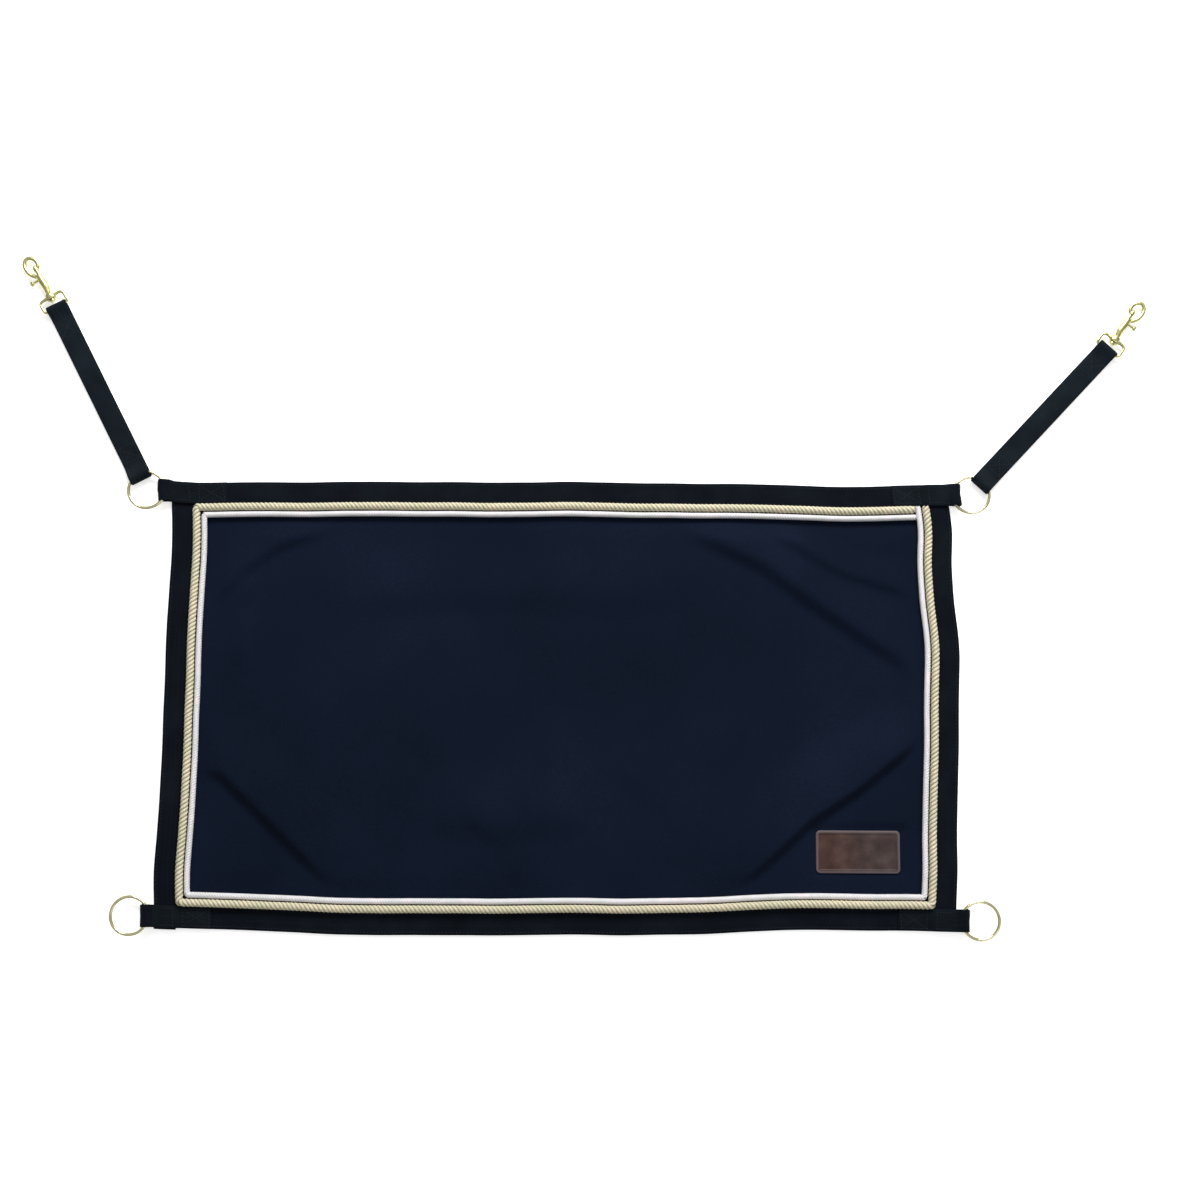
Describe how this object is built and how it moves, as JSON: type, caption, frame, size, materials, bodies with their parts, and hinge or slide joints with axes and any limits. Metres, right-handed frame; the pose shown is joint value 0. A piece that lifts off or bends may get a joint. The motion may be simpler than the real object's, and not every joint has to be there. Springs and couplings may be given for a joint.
{
  "type": "horse stable guard",
  "caption": "Cloth stable guard edged with webbing and twisted trim cords, with a ring at each corner and straps that end in swivelling bolt snaps.",
  "frame": {"origin": "centre of the panel, on the underside of its cloth, which lies on the floor", "axes": "+X along the top edge to the right as seen from the front, +Y towards the top edge that carries the straps, +Z out of the front of the panel, up from the floor"},
  "size_m": [1.3222, 0.7877, 0.0125],
  "materials": {
    "panel_cloth": "heavy navy cloth with a faint sheen",
    "webbing": "flat woven navy webbing",
    "strap_webbing": "flat woven navy webbing, doubled",
    "gold_cord": "three-strand twisted gold cord",
    "white_cord": "fine twisted white cord",
    "leather": "dark brown grained leather",
    "thread": "navy sewing thread",
    "label_thread": "light brown waxed thread",
    "brass": "polished cast brass",
    "spring_steel": "drawn spring wire"
  },
  "bodies": {
    "guard": {"panel_cloth": "panel_cloth", "left_side_webbing": "webbing", "right_side_webbing": "webbing", "top_webbing": "webbing", "bottom_webbing": "webbing", "webbing_stitching": "thread", "tab_stitching": "thread", "gold_cord": "gold_cord", "white_cord": "white_cord", "cord_stitching": "thread", "leather_label": "leather", "label_stitching": "label_thread"},
    "upper_left_ring": {"upper_left_ring": "brass"},
    "lower_left_ring": {"lower_left_ring": "brass"},
    "left_strap": {"left_strap": "strap_webbing", "left_strap_stitching": "thread"},
    "left_swivel_eye": {"left_swivel_eye": "brass"},
    "left_hook": {"left_hook_body": "brass", "left_bolt_spring": "spring_steel"},
    "left_bolt": {"left_spring_bolt": "brass", "left_thumb_knob": "brass"},
    "upper_right_ring": {"upper_right_ring": "brass"},
    "lower_right_ring": {"lower_right_ring": "brass"},
    "right_strap": {"right_strap": "strap_webbing", "right_strap_stitching": "thread"},
    "right_swivel_eye": {"right_swivel_eye": "brass"},
    "right_hook": {"right_hook_body": "brass", "right_bolt_spring": "spring_steel"},
    "right_bolt": {"right_spring_bolt": "brass", "right_thumb_knob": "brass"}
  },
  "joints": [
    {"name": "upper_left_ring_flap", "type": "hinge", "parent": "guard", "child": "upper_left_ring", "pos_m": [-0.45825, 0.2425, 0.00624], "axis": [0, 1, 0], "range_deg": [0, 90]},
    {"name": "lower_left_ring_flap", "type": "hinge", "parent": "guard", "child": "lower_left_ring", "pos_m": [-0.45825, -0.2425, 0.00624], "axis": [0, 1, 0], "range_deg": [0, 160]},
    {"name": "left_strap_slide_round_ring", "type": "hinge", "parent": "upper_left_ring", "child": "left_strap", "pos_m": [-0.4769, 0.2425, 0.00624], "axis": [0, 0, 1], "range_deg": [-24.7, 149.3]},
    {"name": "left_eye_flap", "type": "hinge", "parent": "left_strap", "child": "left_swivel_eye", "pos_m": [-0.59149, 0.46076, 0.0049], "axis": [0.8368, 0.5476, 0], "range_deg": [0, 120]},
    {"name": "left_hook_swivel", "type": "hinge", "parent": "left_swivel_eye", "child": "left_hook", "pos_m": [-0.59965, 0.47323, 0.0049], "axis": [-0.5476, 0.8368, 0], "continuous": true},
    {"name": "left_bolt_pull", "type": "slide", "parent": "left_hook", "child": "left_bolt", "axis": [0.5476, -0.8368, 0], "range_m": [0, 0.0065], "stiffness_N_per_m": 400, "springref_m": -0.004, "deforming": ["left_bolt_spring"]},
    {"name": "upper_right_ring_flap", "type": "hinge", "parent": "guard", "child": "upper_right_ring", "pos_m": [0.45825, 0.2425, 0.00624], "axis": [0, -1, 0], "range_deg": [0, 90]},
    {"name": "lower_right_ring_flap", "type": "hinge", "parent": "guard", "child": "lower_right_ring", "pos_m": [0.45825, -0.2425, 0.00624], "axis": [0, -1, 0], "range_deg": [0, 160]},
    {"name": "right_strap_slide_round_ring", "type": "hinge", "parent": "upper_right_ring", "child": "right_strap", "pos_m": [0.4769, 0.2425, 0.00624], "axis": [0, 0, -1], "range_deg": [-40.1, 133.9]},
    {"name": "right_eye_flap", "type": "hinge", "parent": "right_strap", "child": "right_swivel_eye", "pos_m": [0.64021, 0.41702, 0.0049], "axis": [0.7923, -0.6101, 0], "range_deg": [0, 120]},
    {"name": "right_hook_swivel", "type": "hinge", "parent": "right_swivel_eye", "child": "right_hook", "pos_m": [0.6493, 0.42882, 0.0049], "axis": [0.6101, 0.7923, 0], "continuous": true},
    {"name": "right_bolt_pull", "type": "slide", "parent": "right_hook", "child": "right_bolt", "axis": [-0.6101, -0.7923, 0], "range_m": [0, 0.0065], "stiffness_N_per_m": 400, "springref_m": -0.004, "deforming": ["right_bolt_spring"]}
  ]
}
